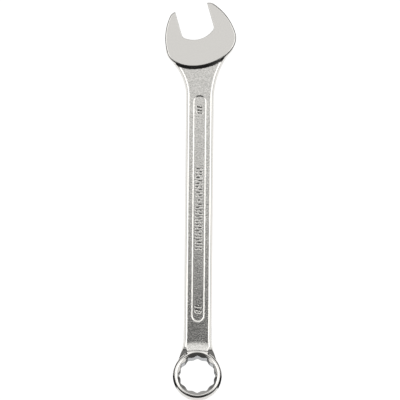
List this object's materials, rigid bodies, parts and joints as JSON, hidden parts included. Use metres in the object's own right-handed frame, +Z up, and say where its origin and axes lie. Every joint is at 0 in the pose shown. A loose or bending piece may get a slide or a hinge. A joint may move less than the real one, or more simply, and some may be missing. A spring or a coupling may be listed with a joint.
{
  "type": "combination wrench",
  "caption": "Forged, chrome-plated combination wrench: slim angled open end, flat shank with a sunk panel in each face, and a tilted twelve-point box end.",
  "frame": {"origin": "lowest middle point of the whole tool as it lies with its front face up", "axes": "+Y along the shank towards the open end, +Z up out of the front face, +X to the right as the front face is seen with the open end at the top"},
  "size_m": [0.039, 0.2188, 0.0173],
  "materials": {
    "polished_chrome": "mirror-polished chrome plate on forged steel",
    "satin_chrome": "satin chrome plate on forged steel, with polished edges"
  },
  "bodies": {
    "root": {"open_end_head": "polished_chrome", "shank": "satin_chrome", "box_end_ring": "polished_chrome"}
  },
  "joints": []
}
